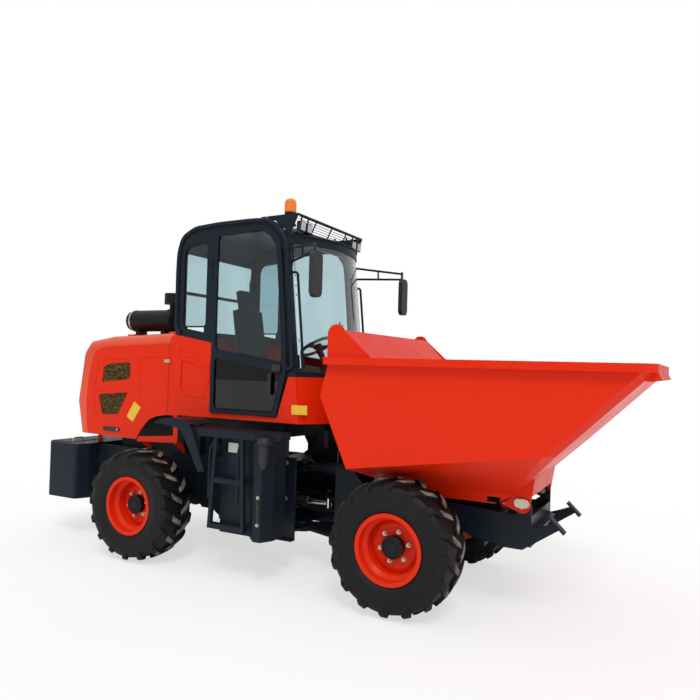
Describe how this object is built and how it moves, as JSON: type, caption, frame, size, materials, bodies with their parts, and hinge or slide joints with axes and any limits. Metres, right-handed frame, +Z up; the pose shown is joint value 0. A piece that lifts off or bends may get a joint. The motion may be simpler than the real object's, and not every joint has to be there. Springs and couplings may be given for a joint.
{
  "type": "site dumper",
  "caption": "Articulated site dumper: enclosed cab and rear engine on one frame, front-tipping faceted steel skip on the other.",
  "frame": {"origin": "on the ground, below the middle of the overall box, with the machine straight and the skip down", "axes": "+X forward towards the skip's lip, +Y to the machine's left, +Z up"},
  "size_m": [6.2422, 2.09, 3.5583],
  "materials": {
    "red_paint": "gloss",
    "dark_paint": "satin",
    "black_paint": "satin",
    "tyre_rubber": "matte",
    "glass": "gloss",
    "black_plastic": "matte",
    "seat_fabric": "matte",
    "amber_plastic": "gloss",
    "lamp_plastic": "gloss",
    "rod_chrome": "polished",
    "pin_steel": "satin",
    "cast_iron": "matte"
  },
  "bodies": {
    "chassis": {"air_cleaner": "black_paint", "beacon": "amber_plastic", "bonnet": "red_paint", "cab_frame": "dark_paint", "cab_lower": "red_paint", "counterweight": "dark_paint", "engine_block": "cast_iron", "fender_left": "dark_paint", "fender_right": "dark_paint", "fuel_tank": "dark_paint", "grab_rails": "dark_paint", "hydraulic_tank": "dark_paint", "mirror_left": "black_plastic", "mirror_right": "black_plastic", "prop_shaft_rear": "black_paint", "quarter_windows": "glass", "rear_axle": "dark_paint", "rear_frame": "dark_paint", "rear_window": "glass", "roof_guard": "dark_paint", "seat_back": "seat_fabric", "seat_base": "black_plastic", "seat_cushion": "seat_fabric", "steering_column": "black_plastic", "step_left": "dark_paint", "step_right": "dark_paint", "transmission": "cast_iron", "windshield": "glass", "wiper": "black_plastic", "work_lights": "lamp_plastic"},
    "front": {"front_frame": "dark_paint", "front_axle": "dark_paint", "prop_shaft_front": "black_paint", "skip_pins": "pin_steel"},
    "skip_body": {"skip": "red_paint"},
    "tip_barrel_body": {"tip_barrel": "black_paint"},
    "tip_rod_body": {"tip_rod": "rod_chrome"},
    "steer_barrel_right_body": {"steer_barrel_right": "black_paint"},
    "steer_rod_right_body": {"steer_rod_right": "rod_chrome"},
    "cab_door_right": {"door_right": "dark_paint", "door_glass_right": "glass"},
    "bonnet_door_right_body": {"bonnet_door_right": "red_paint"},
    "steer_barrel_left_body": {"steer_barrel_left": "black_paint"},
    "steer_rod_left_body": {"steer_rod_left": "rod_chrome"},
    "cab_door_left": {"door_left": "dark_paint", "door_glass_left": "glass"},
    "bonnet_door_left_body": {"bonnet_door_left": "red_paint"},
    "locker_lid": {"counterweight_lid": "dark_paint"},
    "wheel_front_right": {"rim_front_right": "red_paint", "tyre_front_right": "tyre_rubber", "hub_front_right": "black_paint"},
    "wheel_front_left": {"rim_front_left": "red_paint", "tyre_front_left": "tyre_rubber", "hub_front_left": "black_paint"},
    "wheel_rear_right": {"rim_rear_right": "red_paint", "tyre_rear_right": "tyre_rubber", "hub_rear_right": "black_paint"},
    "wheel_rear_left": {"rim_rear_left": "red_paint", "tyre_rear_left": "tyre_rubber", "hub_rear_left": "black_paint"}
  },
  "joints": [
    {"name": "articulation", "type": "hinge", "parent": "chassis", "child": "front", "pos_m": [-0.12, 0, 0.64], "axis": [0, 0, 1], "range_deg": [-32, 32]},
    {"name": "skip_tip", "type": "hinge", "parent": "front", "child": "skip_body", "pos_m": [2.129, 0, 0.885], "axis": [0, 1, 0], "range_deg": [0, 80]},
    {"name": "tip_barrel_pivot", "type": "hinge", "parent": "front", "child": "tip_barrel_body", "pos_m": [1.7, 0, 0.45], "axis": [0, 1, 0], "range_deg": [-15, 15]},
    {"name": "tip_rod_slide", "type": "slide", "parent": "tip_barrel_body", "child": "tip_rod_body", "axis": [0.4805, 0, 0.877], "range_m": [0, 0.2952]},
    {"name": "steer_barrel_right_pivot", "type": "hinge", "parent": "chassis", "child": "steer_barrel_right_body", "pos_m": [-0.68, -0.3, 0.64], "axis": [0, 0, 1], "range_deg": [-14, 14]},
    {"name": "steer_rod_right_slide", "type": "slide", "parent": "steer_barrel_right_body", "child": "steer_rod_right_body", "axis": [0.9913, 0.1318, 0], "range_m": [-0.125, 0.125]},
    {"name": "steer_barrel_left_pivot", "type": "hinge", "parent": "chassis", "child": "steer_barrel_left_body", "pos_m": [-0.68, 0.3, 0.64], "axis": [0, 0, 1], "range_deg": [-14, 14]},
    {"name": "steer_rod_left_slide", "type": "slide", "parent": "steer_barrel_left_body", "child": "steer_rod_left_body", "axis": [0.9913, -0.1318, 0], "range_m": [-0.125, 0.125]},
    {"name": "spin_front_right", "type": "hinge", "parent": "front", "child": "wheel_front_right", "pos_m": [1.25, -0.845, 0.5375], "axis": [0, 1, 0], "continuous": true},
    {"name": "spin_front_left", "type": "hinge", "parent": "front", "child": "wheel_front_left", "pos_m": [1.25, 0.845, 0.5375], "axis": [0, 1, 0], "continuous": true},
    {"name": "spin_rear_right", "type": "hinge", "parent": "chassis", "child": "wheel_rear_right", "pos_m": [-1.49, -0.845, 0.5375], "axis": [0, 1, 0], "continuous": true},
    {"name": "spin_rear_left", "type": "hinge", "parent": "chassis", "child": "wheel_rear_left", "pos_m": [-1.49, 0.845, 0.5375], "axis": [0, 1, 0], "continuous": true},
    {"name": "door_right_hinge", "type": "hinge", "parent": "chassis", "child": "cab_door_right", "pos_m": [-0.825, -0.668, 2.3], "axis": [0, 0, -1], "range_deg": [0, 90]},
    {"name": "door_left_hinge", "type": "hinge", "parent": "chassis", "child": "cab_door_left", "pos_m": [-0.825, 0.668, 2.3], "axis": [0, 0, 1], "range_deg": [0, 90]},
    {"name": "bonnet_door_right_hinge", "type": "hinge", "parent": "chassis", "child": "bonnet_door_right_body", "pos_m": [-1.9, -0.3385, 2.23458], "axis": [-0.999, 0, -0.044], "range_deg": [0, 60]},
    {"name": "bonnet_door_left_hinge", "type": "hinge", "parent": "chassis", "child": "bonnet_door_left_body", "pos_m": [-1.9, 0.3385, 2.23458], "axis": [0.999, 0, 0.044], "range_deg": [0, 60]},
    {"name": "locker_lid_hinge", "type": "hinge", "parent": "chassis", "child": "locker_lid", "pos_m": [-2.9375, -0.115, 1.022], "axis": [-1, 0, 0], "range_deg": [0, 80]}
  ],
  "couplings": [
    {"joint": "tip_barrel_pivot", "follows": "skip_tip", "ratio": -0.07},
    {"joint": "tip_rod_slide", "follows": "skip_tip", "m_per_rad": 0.21},
    {"joint": "steer_barrel_right_pivot", "follows": "articulation", "ratio": 0.37},
    {"joint": "steer_rod_right_slide", "follows": "articulation", "m_per_rad": 0.22},
    {"joint": "steer_barrel_left_pivot", "follows": "articulation", "ratio": 0.37},
    {"joint": "steer_rod_left_slide", "follows": "articulation", "m_per_rad": -0.22}
  ]
}
